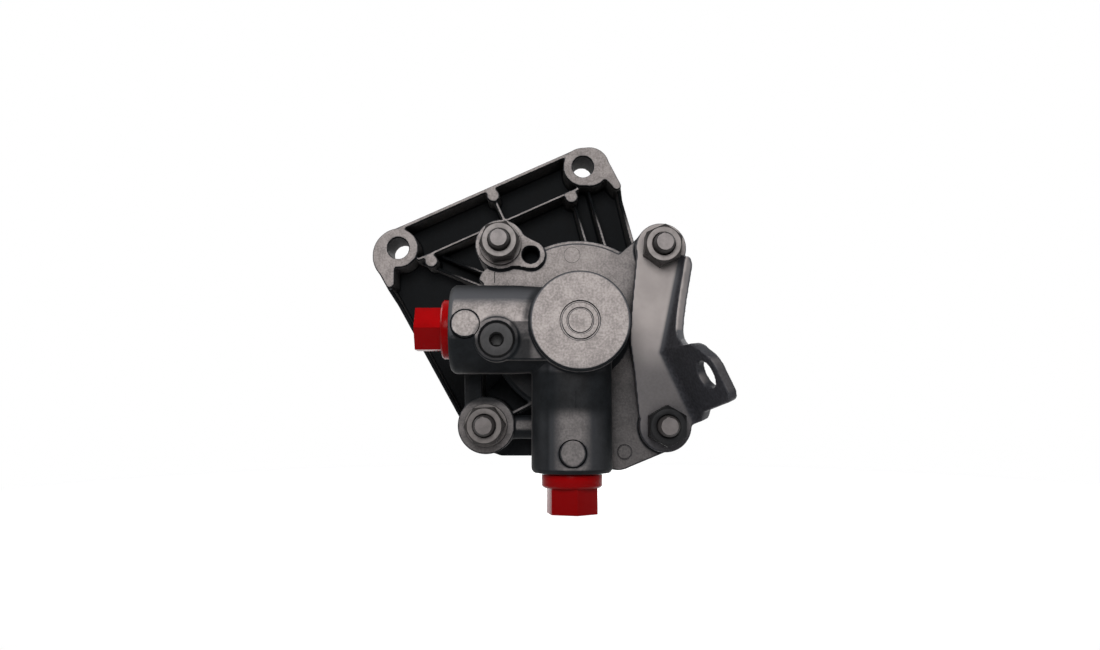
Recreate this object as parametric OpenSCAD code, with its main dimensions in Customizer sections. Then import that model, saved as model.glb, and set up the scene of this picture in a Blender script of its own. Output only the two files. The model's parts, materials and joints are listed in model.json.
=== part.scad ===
// Power steering pump: vane pump with mounting flange, support bracket and blanked ports.
// Drawn face-on as the rear is seen: x right, y up, z from the mounting face toward the ports.

/* [Mounting flange] */
// First mounting hole, across
hole1_x = -96.4; // [-105:0.1:-90]
// First mounting hole, up
hole1_y = 48.3; // [44:0.1:56]
// Distance between the two mounting holes
hole_spacing = 110.6; // [104:0.1:120]
// Tilt of the line through the two mounting holes
hole_tilt = 24.2; // [20:0.1:28]
// Mounting hole diameter
hole_d = 11.6; // [8.5:0.1:13]
// Radius of the pad round each mounting hole
pad_r = 10.9; // [9.5:0.1:13]
// Height of the pads above the mounting face
pad_depth = 26; // [20:0.5:30]
// Thickness of the base behind the pockets
base_t = 6; // [4:0.5:10]
// Thickness of the outer walls
wall_t = 2.2; // [2:0.1:4]
// Thickness of the ribs
rib_t = 1.8; // [1.5:0.1:3]
// Depth of the joint between flange and housing
joint_depth = 34; // [32:0.5:38]
// End of the left pad's tail, from its hole
left_tip = [-4.2, -19.2]; // [-25:0.1:25]
// End of the right pad's tail, from its hole
right_tip = [18.6, -10.6]; // [-25:0.1:25]
// Radius of the tail ends
tip_r = 2.4; // [1.8:0.1:3]
// Run of the slope beyond a tail
wall_drop = 8; // [5:0.5:12]
// Radius of the round ends on the ribs
knob_r = 3.6; // [3:0.1:4.5]

/* [Drive end] */
// Radius of the locating spigot
pilot_r = 40; // [36:0.5:42]
// Height of the locating spigot
pilot_h = 7; // [6:0.5:10]
// Shaft radius in the bearing
shaft_r = 10; // [9:0.1:11]
// Length of the shaft ahead of the mounting face
shaft_reach = 40; // [32:0.5:50]
// Bearing outer radius
bearing_r = 23.5; // [22.5:0.1:25]
// Bearing width
bearing_w = 14; // [12:0.5:15]
// Shaft seal outer radius
seal_r = 17.5; // [16:0.1:19]
// Shaft seal width
seal_w = 8; // [6:0.5:9]
// Length of the rear bush
bush_len = 18; // [14:0.5:20]

/* [Pumping set] */
// Radius of the chamber in the housing
chamber_r = 36; // [34:0.1:37]
// Front plate thickness
front_plate_t = 8; // [6:0.5:9]
// Cam ring width
cam_t = 20; // [17:0.5:21]
// Rear plate thickness
rear_plate_t = 7.5; // [6.5:0.5:9]
// Least radius of the cam track
cam_r = 25; // [23:0.1:26]
// Rise of the cam track
cam_rise = 1.8; // [1:0.1:2.5]
// Number of vanes
vane_count = 10; // [8:1:12]
// Vane thickness
vane_t = 2; // [1.5:0.1:2.5]

/* [Housing] */
// Body radius
body_r = 43.3; // [42:0.1:46]
// Depth of the rear plate face
plate_depth = 76; // [74:0.5:82]
// Lift of the stud ears above the plate
ear_lift = 2; // [1:0.1:3]
// Ear radius
ear_r = 12.4; // [11.5:0.1:14]
// Lower left ear radius
ear_ll = 13.7; // [12.5:0.1:15]
// Width of the step round the rear plate
rim_w = 2; // [1:0.1:3]
// Height of the step round the rear plate
rim_step = 1.2; // [0.5:0.1:2]
// Rise of the low web at the lower left ear
web_rise = 16; // [12:0.5:24]
// Lower edge of the low web
web_low = -62.8; // [-64:0.1:-60]
// Radius of the round bar between lower left ear and inlet neck
bar_r = 5.7; // [4:0.1:7]
// Thickness of the tab between lower left ear and outlet neck
tab_t = 8.6; // [6:0.1:10]
// Round boss radius
boss_r = 22.9; // [20:0.1:25]
// Depth of the round boss face
boss_depth = 112; // [110:0.5:118]

/* [Ports] */
// Depth of the outlet axis
outlet_depth = 88; // [87:0.5:90]
// Height of the outlet axis
outlet_y = -2; // [-4:0.1:0]
// Outlet neck radius
outlet_r = 21; // [19:0.1:22]
// Outlet neck end, across
outlet_end = -60; // [-66:0.5:-58]
// Valve bore radius
valve_r = 8; // [7:0.1:8.5]
// Valve travel
valve_travel = 4; // [2:0.1:4.5]
// Depth of the inlet axis
inlet_depth = 86; // [84:0.5:88]
// Inlet axis, across
inlet_x = -3.3; // [-6:0.1:0]
// Inlet neck radius
inlet_r = 19; // [17:0.1:20]
// Inlet neck end, up
inlet_end = -69; // [-74:0.5:-66]
// Inlet bore radius
inlet_bore = 10; // [8:0.1:11]
// Gallery plug, across
gallery_x = -37.7; // [-40:0.1:-36]
// Gallery plug, up
gallery_y = -8.3; // [-10:0.1:-7]
// Gallery plug radius
gallery_r = 8.1; // [7:0.1:9]

/* [Fasteners] */
// Upper left stud
stud_ul = [-37.8, 40.7]; // [-50:0.1:50]
// Upper right stud
stud_ur = [40.1, 38.2]; // [-50:0.1:50]
// Lower left stud
stud_ll = [-44.3, -47.2]; // [-50:0.1:50]
// Lower right stud
stud_lr = [41.2, -47.4]; // [-50:0.1:50]
// Stud radius
stud_r = 5; // [4:0.1:6]
// Depth of the blind end of the stud holes
stud_root = 12; // [9:0.5:15]
// Length of a stud beyond its nut
stud_tip = 5.5; // [3:0.5:8]
// Nut width across flats
nut_af = 17; // [15:0.5:18]
// Nut height
nut_h = 11.5; // [8:0.5:13]
// Washer radius
washer_r = 10.3; // [9.5:0.1:11]
// Washer thickness
washer_t = 2; // [1.5:0.1:3]
// Spare threaded hole beside the upper left stud
spare = [-23, 35.7]; // [-50:0.1:50]
// Spare hole radius
spare_r = 4.3; // [3.3:0.1:5]

/* [Support bracket] */
// Bracket thickness
plate_t = 5; // [4:0.5:6]
// Bracket neck, across, at its left edge
neck_x = 24.6; // [24:0.1:27]
// Crease of the bent side
crease = [36.6, -12]; // [-20:0.1:45]
// Upper end of the bend
bend_top = [46.6, 34.9]; // [-50:0.1:60]
// Lower end of the bend
bend_bottom = [53, -47.4]; // [-50:0.1:60]
// Inner radius of the bend
bend_r = 5; // [4:0.5:7]
// Lean of the bent side
bend_a = 72; // [65:1:80]
// Eye hole diameter
eye_d = 13.4; // [11:0.1:15]
// Eye radius
eye_r = 11.6; // [11:0.1:13]
// Distance of the eye from the crease, along the bend
eye_along = 19.5; // [17:0.5:22]
// Distance of the eye from the bend
eye_reach = 24.4; // [20:0.1:28]
// Radius of the corner beyond the eye
lug_r = 5.4; // [4:0.1:7]

/* [Port plugs] */
// Outlet plug width across flats
outlet_plug_af = 19.6; // [17:0.1:22]
// Outlet plug hexagon length
outlet_plug_h = 12.5; // [9:0.5:16]
// Outlet plug collar radius
outlet_collar_r = 14; // [12.5:0.1:15]
// Outlet plug collar thickness
outlet_collar_t = 4.2; // [3:0.1:6]
// Inlet plug width across flats
inlet_plug_af = 21.6; // [20:0.1:26]
// Inlet plug hexagon length
inlet_plug_h = 13; // [9:0.5:18]
// Inlet plug shank length
inlet_shank = 13; // [10:0.5:14]
// Inlet plug collar radius
inlet_collar_r = 14.2; // [14:0.1:16]
// Inlet plug collar thickness
inlet_collar_t = 5; // [4:0.1:7]
// Gap under the inlet plug collar
collar_gap = 0.9; // [0.5:0.1:1.5]

/* [Hidden] */
$fn = 64;
e = 0.01;
fit = 0.03;
hole1 = [hole1_x, hole1_y];
along = [cos(hole_tilt), sin(hole_tilt)];
above = [-sin(hole_tilt), cos(hole_tilt)];
hole2 = hole1 + hole_spacing * along;
lobe1 = hole1 - 4.05 * above - 0.5 * along;
lobe2 = hole2 + 3.2 * along - 1.4 * above;
lobe1_r = pad_r + 4.3;
lobe2_r = pad_r + 0.3;
tip1 = hole1 + left_tip;
tip2 = hole2 + right_tip;
row_top = pad_r + 0.3;
row_low = -10.85;
cross_u = 0.534 * hole_spacing;
foot_ll = ear_ll + 1.2;
shoulder = stud_ur + [-7.4, 12];
ear_depth = plate_depth + ear_lift;
studs_at = [stud_ul, stud_ur, stud_ll, stud_lr];
bearing_front = -pilot_h + 4.5;
bearing_back = bearing_front + bearing_w;
seal_back = bearing_back + 0.5 + seal_w;
ball_r = (bearing_r - shaft_r) * 0.294;
pitch_r = (bearing_r + shaft_r) / 2;
ball_count = 8;
cam_front = joint_depth + front_plate_t;
cam_back = cam_front + cam_t;
set_back = cam_back + rear_plate_t;
chamber_back = set_back + 0.5;
rotor_r = cam_r - 0.6;
journal_r = shaft_r - 2;
spline_r = shaft_r - 0.6;
shaft_back = chamber_back + bush_len + 1;
dowel_at = chamber_r - 5;
spool_front = outlet_end + 14.6;
spool_len = 16;
spool_back = spool_front + spool_len;
spring_solid = 11.3;
valve_end = spool_back + spring_solid + valve_travel;
mouth_r = valve_r + 0.6;
mouth_len = 11.5;
inlet_mouth = inlet_bore + 2.2;
channel_y = -chamber_r;
nut_seat = ear_depth + washer_t;
bracket_face = ear_depth + plate_t;
gallery_top = outlet_depth + outlet_r + 1;
gallery_foot = outlet_depth + valve_r + 4.5;

function perp(v) = [-v[1], v[0]];
function unit(v) = v / norm(v);
function tangent(a, ra, b, rb) = let (l = norm(b - a), u = (b - a) / l, c = (ra - rb) / l, s = sqrt(1 - c * c))
  [u * c + perp(u) * s, u * c - perp(u) * s];
function row(u, v) = hole1 + u * along + v * above;

module stand() {
  rotate([90, 0, 0]) children();
}

module slab(z0, z1) {
  translate([0, 0, z0]) linear_extrude(z1 - z0) children();
}

module rod(p, r, z0, z1) {
  translate([p[0], p[1], z0]) cylinder(r = r, h = z1 - z0);
}

module cone(p, r0, r1, z0, z1) {
  translate([p[0], p[1], z0]) cylinder(r1 = r0, r2 = r1, h = z1 - z0);
}

module ring(p, r0, r1, z0, z1) {
  translate([p[0], p[1], z0]) difference() {
    cylinder(r = r1, h = z1 - z0);
    translate([0, 0, -1]) cylinder(r = r0, h = z1 - z0 + 2);
  }
}

module pill(a, ra, b, rb) {
  n = tangent(a, ra, b, rb);
  k = 0.99;
  translate(a) circle(ra);
  translate(b) circle(rb);
  polygon([a + k * ra * n[0], a + k * ra * n[1], b + k * rb * n[1], b + k * rb * n[0]]);
}

// Upright wall from a to b, with its top edge through the points [distance from a, height]
module wall(a, b, t, z0, tops) {
  translate([a[0], a[1], 0]) rotate([0, 0, atan2(b[1] - a[1], b[0] - a[0])]) translate([0, t / 2, 0])
    rotate([90, 0, 0]) linear_extrude(t) polygon(concat([[norm(b - a), z0], [0, z0]], tops));
}

// Upright web from a to b, with its top edge running from height h0 to h1
module web(a, b, t, z0, h0, h1) {
  wall(a, b, t, z0, [[0, h0], [norm(b - a), h1]]);
}

// Turned solid from a half outline [radius, height]
module turned(points) {
  rotate_extrude() polygon(points);
}

// Solid of revolution along +x from a face-on point
module across(p, z) {
  translate([p[0], p[1], z]) rotate([0, 90, 0]) children();
}

// Solid of revolution along +y from a face-on point
module upward(p, z) {
  translate([p[0], p[1], z]) rotate([-90, 0, 0]) children();
}

module spline_outline(r, teeth, depth, grow) {
  w = 360 / teeth;
  polygon([for (i = [0:teeth - 1]) each [
    (r - depth + grow) * [cos(w * i), sin(w * i)],
    (r - depth + grow) * [cos(w * (i + 0.3)), sin(w * (i + 0.3))],
    (r + grow) * [cos(w * (i + 0.42)), sin(w * (i + 0.42))],
    (r + grow) * [cos(w * (i + 0.83)), sin(w * (i + 0.83))]]]);
}

module base_outline() {
  nl = tangent(lobe1, lobe1_r, stud_ll, foot_ll)[1];
  nr = tangent(lobe2, lobe2_r, tip2, tip_r + 0.4)[0];
  nw = tangent(tip2, tip_r + 0.4, shoulder, 0.5)[0];
  k = 0.99;
  translate(lobe1) circle(lobe1_r);
  translate(lobe2) circle(lobe2_r);
  translate(tip2) circle(tip_r + 0.4);
  translate(stud_ll) circle(foot_ll);
  translate(stud_lr) circle(ear_r);
  translate(stud_ur) circle(ear_r);
  circle(body_r + 1.5);
  polygon([lobe1 + k * lobe1_r * nl, stud_ll + k * foot_ll * nl, stud_ll + [0, -k * foot_ll],
    stud_lr + [0, -k * ear_r], stud_lr + [k * ear_r, 0], stud_ur + [k * ear_r, 0], shoulder,
    tip2 + k * (tip_r + 0.4) * nw, tip2 + k * (tip_r + 0.4) * nr, lobe2 + k * lobe2_r * nr,
    row(hole_spacing, row_top), row(0, row_top)]);
}

module mounting_flange() color("silver") stand() {
  inset = wall_t / 2 + 0.35;
  root_r = 4.5;
  left_n = tangent(lobe1, lobe1_r, stud_ll, foot_ll)[1];
  right_n = tangent(lobe2, lobe2_r, tip2, tip_r)[0];
  left_a = lobe1 + (lobe1_r - inset) * left_n;
  left_b = stud_ll + (foot_ll - inset) * left_n;
  right_a = tip2 + [tip_r - inset, 1];
  right_b = shoulder + [0.4, -6];
  left_run = norm(tip1 - lobe1) - 2;
  rim = pad_depth - 0.6;
  low = pad_depth - 9;
  difference() {
    union() {
      slab(0, base_t) base_outline();
      rod(hole1, pad_r, 0, pad_depth);
      rod(hole2, pad_r, 0, pad_depth);
      slab(0, pad_depth) intersection() {
        translate(lobe1) circle(lobe1_r);
        translate(tip1 + [tip_r - 40, -40]) square([40, 80]);
      }
      rod(lobe2, lobe2_r, 0, pad_depth);
      web(row(0, row_top - inset), row(hole_spacing, row_top - inset), wall_t, 0, rim, rim);
      web(row(pad_r - 4, row_low + rib_t / 2), row(hole_spacing - pad_r + 4, row_low + rib_t / 2), rib_t, 0,
        rim - 0.3, rim - 0.3);
      web(row(cross_u, row_low + 0.5), row(cross_u, row_top - 1.5), rib_t, 0, rim - 0.5, rim - 0.5);
      for (p = [row(13.6, row_low - 3), row(hole_spacing - 12.6, row_low - 1.8), row(cross_u, row_top - 5.6)])
        rod(p, knob_r, 0, rim + 0.2);
      slab(0, pad_depth) {
        pill(lobe1 + (lobe1_r - root_r - 0.5) * left_n, root_r, tip1, tip_r);
        pill(lobe2 + (lobe2_r - root_r - 0.2) * right_n, root_r, tip2, tip_r);
      }
      wall(left_a, left_b, wall_t, 0, [[0, pad_depth - 0.5], [left_run, pad_depth - 0.5],
        [left_run + wall_drop, low], [norm(left_b - left_a), low]]);
      wall(right_a, right_b, wall_t, 0, [[0, pad_depth - 0.5], [wall_drop, low],
        [norm(right_b - right_a), joint_depth - 6]]);
      turned([[0, base_t - 1], [chamber_r - 2, base_t - 1], [body_r, joint_depth - 5], [body_r, joint_depth],
        [0, joint_depth]]);
      for (p = studs_at) {
        rod(p, (p == stud_ll ? ear_ll : ear_r) - 0.6, 0, joint_depth);
        web(p, 0.5 * p, 14, 0, joint_depth - 0.4, joint_depth - 0.4);
      }
      web(row(8, row_low + 1), [-33, 20], rib_t, 0, pad_depth - 12, joint_depth - 4);
      web(row(19, row_low), [-31, 27], rib_t, 0, pad_depth - 12, joint_depth - 4);
      web(row(hole_spacing - 11, row_low), [9, 40], rib_t, 0, pad_depth - 12, joint_depth - 3);
      web(row(hole_spacing - 1, row_low + 2), [20, 36], rib_t, 0, pad_depth - 12, joint_depth - 3);
      web(row(cross_u, row_low + 1), [-14, 38], rib_t, 0, pad_depth - 12, joint_depth - 6);
      turned([[0, -pilot_h], [pilot_r - 1, -pilot_h], [pilot_r, -pilot_h + 1], [pilot_r, base_t - 1],
        [0, base_t - 1]]);
    }
    rod(hole1, hole_d / 2, -1, pad_depth + 1);
    rod(hole2, hole_d / 2, -1, pad_depth + 1);
    rod([0, 0], bearing_r, -pilot_h - 1, bearing_back);
    rod([0, 0], bearing_r + 1.2, bearing_front - 1.8, bearing_front);
    rod([0, 0], seal_r, bearing_back - e, seal_back);
    rod([0, 0], shaft_r + 0.6, seal_back - e, joint_depth + 1);
    for (p = studs_at) rod(p, stud_r, stud_root, joint_depth + 1);
    for (a = [60, 240]) rod(dowel_at * [cos(a), sin(a)], 2.5, joint_depth - 6, joint_depth + 1);
  }
}

module body_outline() {
  low_pad = [19, -57.2];
  circle(body_r - rim_w);
  pill(stud_ul, ear_r - 1.2, 0.55 * stud_ul, ear_r);
  pill(stud_ur, ear_r - 0.4, 0.55 * stud_ur, ear_r);
  pill(stud_lr, ear_r - 0.4, 0.5 * stud_lr, ear_r);
  pill(low_pad, 11.4, stud_lr, ear_r - 0.4);
  polygon([[inlet_x, low_pad[1] - 11], [low_pad[0], low_pad[1] - 11], stud_lr, 0.3 * stud_lr, [inlet_x, 0]]);
}

module pump_housing() color("gainsboro") stand() difference() {
  union() {
    rod([0, 0], body_r, joint_depth, plate_depth - rim_step);
    slab(joint_depth, plate_depth) body_outline();
    slab(joint_depth, joint_depth + web_rise) {
      pill(stud_ll, ear_ll - 0.4, 0.5 * stud_ll, ear_r);
      polygon([stud_ll + [-3, -12.5], [stud_ll[0] + 6, web_low], [inlet_x, web_low], [inlet_x, channel_y],
        stud_ll]);
    }
    for (p = studs_at) rod(p, p == stud_ll ? ear_ll : ear_r, joint_depth + 8, ear_depth);
    across([stud_ll[0], stud_ll[1] - 0.8], plate_depth - bar_r) cylinder(r = bar_r, h = inlet_x - stud_ll[0]);
    web(stud_ll + [6, 2.6], [inlet_x - inlet_r + 1, channel_y], rib_t, joint_depth + 8, plate_depth - 1,
      plate_depth - 1);
    web(stud_ll + [-6.6, 7], [stud_ll[0] - 7.2, outlet_y - 6], tab_t, joint_depth + 8, plate_depth - 5,
      plate_depth - 5);
    slab(joint_depth + 8, ear_depth) pill(stud_ul, ear_r - 2.4, spare, 6.9);
    rod(spare, 7.2, joint_depth + 8, ear_depth);
    turned([[0, plate_depth - 4], [boss_r + 3.4, plate_depth - 4], [boss_r + 3.4, plate_depth - 0.4],
      [boss_r, plate_depth + 3], [boss_r, boss_depth - 1], [boss_r - 1, boss_depth], [0, boss_depth]]);
    across([outlet_end, outlet_y], outlet_depth) turned([[0, 0], [outlet_r - 1.6, 0], [outlet_r, 2],
      [outlet_r, 30], [outlet_r - 1.8, -outlet_end], [0, -outlet_end]]);
    slab(plate_depth - 3, outlet_depth) polygon([[outlet_end + 9, outlet_y - outlet_r + 5],
      [0, outlet_y - outlet_r + 5], [0, outlet_y + outlet_r - 5], [outlet_end + 9, outlet_y + outlet_r - 5]]);
    rod([outlet_end + 8, outlet_y + 0.9], 6.3, outlet_depth + 10, outlet_depth + outlet_r + 0.5);
    rod([gallery_x, gallery_y], gallery_r + 2, outlet_depth, gallery_top - 0.4);
    slab(outlet_depth, gallery_top - 2) translate([gallery_x, gallery_y - gallery_r - 1])
      square([-gallery_x, 2 * gallery_r + 2]);
    upward([inlet_x, inlet_end], inlet_depth) turned([[0, 0], [inlet_r - 1.2, 0], [inlet_r, 1.6],
      [inlet_r, -inlet_end], [0, -inlet_end]]);
    slab(plate_depth - 3, inlet_depth) polygon([[inlet_x - inlet_r + 1, inlet_end + 8], [inlet_x + inlet_r - 1,
      inlet_end + 8], [inlet_x + inlet_r - 1, 0], [inlet_x - inlet_r + 1, 0]]);
    rod([inlet_x, inlet_end + 9.4], 5.9, inlet_depth + 8, inlet_depth + inlet_r + 0.4);
  }
  rod([0, 0], chamber_r, joint_depth - 1, chamber_back);
  ring([0, 0], chamber_r + 1.4, chamber_r + 4, joint_depth - 1, joint_depth + 2.2);
  rod([0, 0], journal_r + 2.5, chamber_back - 1, shaft_back - 1);
  rod([0, 0], journal_r - 1, chamber_back - 1, shaft_back + 3);
  for (p = studs_at) rod(p, stud_r + 0.4, joint_depth - 1, ear_depth + 1);
  rod(spare, spare_r, ear_depth - 16, ear_depth + 1);
  across([outlet_end - 1, outlet_y], outlet_depth) cylinder(r = mouth_r, h = mouth_len + 1);
  across([outlet_end, outlet_y], outlet_depth) cylinder(r = valve_r, h = valve_end - outlet_end);
  across([spool_front - 1.2, outlet_y], outlet_depth) cylinder(r = valve_r + 1, h = 1.2);
  rod([valve_end - 5.4, outlet_y], 2.6, chamber_back - 1, outlet_depth);
  rod([gallery_x, gallery_y], gallery_r, gallery_foot - 1.5, gallery_top + 5);
  rod([gallery_x, gallery_y + 4], 2.2, outlet_depth, gallery_foot);
  upward([inlet_x, inlet_end - 1], inlet_depth) cylinder(r = inlet_mouth, h = inlet_shank + 3);
  upward([inlet_x, inlet_end], inlet_depth) cylinder(r = inlet_bore, h = channel_y - inlet_end + 5);
  rod([inlet_x, channel_y - 0.5], 5.5, cam_front + 3, inlet_depth);
  ring([0, 0], 8.2, 9, boss_depth - 0.5, boss_depth + 1);
  ring([0, 0], 5.4, 6, boss_depth - 0.5, boss_depth + 1);
  ring([22.2, -59.9], 3, 3.6, plate_depth - 0.5, plate_depth + 1);
}

module o_ring(r, s, z) {
  translate([0, 0, z]) rotate_extrude() translate([r, 0]) circle(s, $fn = 32);
}

module body_seal() color("black") stand() o_ring(chamber_r + 2.7, 1.09, joint_depth + 1.1);

module shaft_seal() color("black") stand() translate([0, 0, bearing_back + 0.5]) rotate_extrude() polygon([
  [seal_r, 0], [seal_r, seal_w], [shaft_r + 2.5, seal_w], [shaft_r + 2.5, seal_w - 1.4],
  [seal_r - 1.8, seal_w - 1.4], [seal_r - 1.8, 1.6], [shaft_r + 2.6, 1.6], [shaft_r + 2.2, 4.2],
  [shaft_r + fit, 3.2], [shaft_r + fit, 2.6],
  [shaft_r + 1, 0]]);

module raceway() {
  translate([0, 0, bearing_front + bearing_w / 2]) rotate_extrude() translate([pitch_r, 0])
    circle(ball_r + 0.05, $fn = 48);
}

module bearing_outer_race() color("lightgray") stand() difference() {
  ring([0, 0], pitch_r + ball_r * 0.82, bearing_r, bearing_front, bearing_back);
  raceway();
}

module bearing_inner_race() color("lightgray") stand() difference() {
  ring([0, 0], shaft_r, pitch_r - ball_r * 0.82, bearing_front, bearing_back);
  raceway();
}

module bearing_balls() color("white") stand() for (i = [0:ball_count - 1])
  rotate(360 / ball_count * i) translate([pitch_r, 0, bearing_front + bearing_w / 2]) sphere(ball_r);

module bearing_cage() color("tan") stand() difference() {
  ring([0, 0], pitch_r - ball_r * 0.5, pitch_r + ball_r * 0.5, bearing_front + bearing_w / 2 - ball_r - 0.8,
    bearing_front + bearing_w / 2 + ball_r + 0.8);
  for (i = [0:ball_count - 1]) rotate(360 / ball_count * i)
    across([pitch_r - ball_r, 0], bearing_front + bearing_w / 2) cylinder(r = ball_r + 0.04, h = 2 * ball_r);
}

module bearing_circlip() color("dimgray") stand() difference() {
  ring([0, 0], bearing_r - 2.4, bearing_r + 1.1, bearing_front - 1.75, bearing_front);
  slab(bearing_front - 3, bearing_front + 1) polygon([[0, 0], [6, -40], [-6, -40]]);
}

module drive_shaft() color("gray") stand() {
  slab(-shaft_reach + 1.2, -shaft_reach + 26) spline_outline(shaft_r - 0.4, 16, 1.4, 0);
  cone([0, 0], shaft_r - 2.6, shaft_r - 1.6, -shaft_reach, -shaft_reach + 1.2 + e);
  cone([0, 0], shaft_r - 1.9, shaft_r, -shaft_reach + 26 - e, -shaft_reach + 28);
  rod([0, 0], shaft_r, -shaft_reach + 28 - e, cam_front);
  difference() {
    slab(cam_front - e, cam_back + 2.4) spline_outline(spline_r, 12, 1.2, 0);
    ring([0, 0], spline_r - 1.2, spline_r + 1, cam_back + 0.6, cam_back + 1.8);
  }
  rod([0, 0], journal_r, cam_back, shaft_back - 1);
}

module rotor() color("slategray") stand() difference() {
  rod([0, 0], rotor_r, cam_front + 0.02, cam_back - 0.02);
  slab(cam_front - 1, cam_back + 1) spline_outline(spline_r, 12, 1.2, fit);
  for (i = [0:vane_count - 1]) rotate(360 / vane_count * i) {
    slab(cam_front - 1, cam_back + 1) translate([rotor_r - 8.2, -vane_t / 2]) square([12, vane_t]);
    rod([rotor_r - 8.2, 0], 1.4, cam_front - 1, cam_back + 1);
  }
}

module vanes() color("lightsteelblue") stand() for (i = [0:vane_count - 1]) rotate(360 / vane_count * i)
  slab(cam_front + 0.03, cam_back - 0.03) translate([rotor_r - 7, -vane_t / 2])
    square([cam_r - rotor_r + 6.9, vane_t]);

module rotor_circlip() color("dimgray") stand() difference() {
  ring([0, 0], spline_r - 1.2, spline_r + 1.4, cam_back + 0.6, cam_back + 1.8);
  slab(cam_back, cam_back + 3) polygon([[0, 0], [20, 4], [20, -4]]);
}

module dowel_holes(z0, z1) {
  for (a = [60, 240]) rod(dowel_at * [cos(a), sin(a)], 2.5, z0, z1);
}

module front_plate() color("darkkhaki") stand() difference() {
  rod([0, 0], chamber_r, joint_depth, cam_front);
  rod([0, 0], shaft_r + 0.3, joint_depth - 1, cam_front + 1);
  dowel_holes(joint_depth - 1, cam_front + 1);
  for (a = [0, 180]) rotate(a + 45) slab(cam_front - 2.5, cam_front + 1)
    pill([rotor_r - 3, -3], 2.2, [rotor_r - 3, 3], 2.2);
}

module cam_ring() color("lightslategray") stand() difference() {
  rod([0, 0], chamber_r - 2, cam_front, cam_back);
  slab(cam_front - 1, cam_back + 1) pill([-cam_rise, 0], cam_r, [cam_rise, 0], cam_r);
  dowel_holes(cam_front - 1, cam_back + 1);
}

module rear_plate() color("darkkhaki") stand() difference() {
  rod([0, 0], chamber_r, cam_back, set_back);
  rod([0, 0], spline_r + 2, cam_back - 1, cam_back + 2.6);
  rod([0, 0], journal_r + 0.3, cam_back - 1, set_back + 1);
  dowel_holes(cam_back - 1, cam_back + 5);
  for (a = [0, 180]) rotate(a - 45) slab(cam_back - 1, set_back + 1)
    pill([rotor_r - 3, -3], 2.2, [rotor_r - 3, 3], 2.2);
  ring([0, 0], journal_r + 3, journal_r + 5.4, set_back - 1.7, set_back + 1);
}

module plate_seal() color("black") stand() o_ring(journal_r + 4.2, 1.09, chamber_back - 1.1);

module locating_dowels() color("gray") stand() dowel_holes(joint_depth - 6, cam_back + 5);

module rear_bush() color("peru") stand()
  ring([0, 0], journal_r + fit, journal_r + 2.5, chamber_back, shaft_back - 1);

module flow_spool() color("lightgray") stand() across([spool_front, outlet_y], outlet_depth) difference() {
  union() {
    cylinder(r = valve_r - fit, h = 5);
    translate([0, 0, 5 - e]) cylinder(r = valve_r - 2, h = 4);
    translate([0, 0, 9 - e]) cylinder(r = valve_r - fit, h = spool_len - 9);
    translate([0, 0, spool_len - e]) cylinder(r = valve_r - 4.6, h = 3);
  }
  translate([0, 0, -1]) cylinder(r = valve_r - 3.6, h = 5);
}

module flow_spring() color("gray") stand() across([spool_back, outlet_y], outlet_depth) {
  wire = 0.7;
  coil = valve_r - 2.6;
  turns = 4;
  n = 18;
  length = valve_end - spool_back - 2 * wire;
  steps = turns * n;
  pts = [for (i = [0:steps]) for (k = [0:7]) [
    (coil + wire * cos(45 * k)) * cos(360 * i / n),
    (coil + wire * cos(45 * k)) * sin(360 * i / n),
    wire + length * i / steps + wire * sin(45 * k)]];
  polyhedron(points = pts, faces = concat([[for (k = [0:7]) k]],
    [for (i = [0:steps - 1]) for (k = [0:7])
      [8 * i + k, 8 * i + 8 + k, 8 * i + 8 + (k + 1) % 8, 8 * i + (k + 1) % 8]],
    [[for (k = [7:-1:0]) 8 * steps + k]]));
}

module spool_stop_ring() color("dimgray") stand()
  across([spool_front - 1.2, outlet_y], outlet_depth) difference() {
  ring([0, 0], valve_r - 1.6, valve_r + 0.9, 0, 1.2);
  slab(-1, 3) polygon([[0, 0], [20, 5], [20, -5]]);
}

module gallery_plug() color("dimgray") stand() translate([gallery_x, gallery_y, 0]) difference() {
  union() {
    rod([0, 0], gallery_r, gallery_foot, gallery_top - 0.8);
    cone([0, 0], gallery_r, gallery_r - 0.8, gallery_top - 0.8 - e, gallery_top);
  }
  slab(gallery_top - 5, gallery_top + 1) circle(2.9, $fn = 6);
  cone([0, 0], 2.4, 3.4, gallery_top - 1, gallery_top + e);
  ring([0, 0], gallery_r - 1.9, gallery_r + 1, gallery_foot + 1, gallery_foot + 3.5);
}

module gallery_plug_seal() color("black") stand() translate([gallery_x, gallery_y, 0])
  o_ring(gallery_r - 1, 0.87, gallery_foot + 2.25);

module outlet_plug() color("red") stand() across([outlet_end, outlet_y], outlet_depth) rotate([0, 180, 0]) {
  translate([0, 0, -mouth_len + 1.5]) cylinder(r = mouth_r, h = mouth_len - 1.5 + e);
  cylinder(r = outlet_collar_r, h = outlet_collar_t - 0.8);
  translate([0, 0, outlet_collar_t - 0.8 - e])
    cylinder(r1 = outlet_collar_r, r2 = outlet_collar_r - 0.8, h = 0.8);
  translate([0, 0, outlet_collar_t - 0.6])
    cylinder(r = outlet_plug_af / sqrt(3), h = outlet_plug_h + 0.6, $fn = 6);
}

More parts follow.
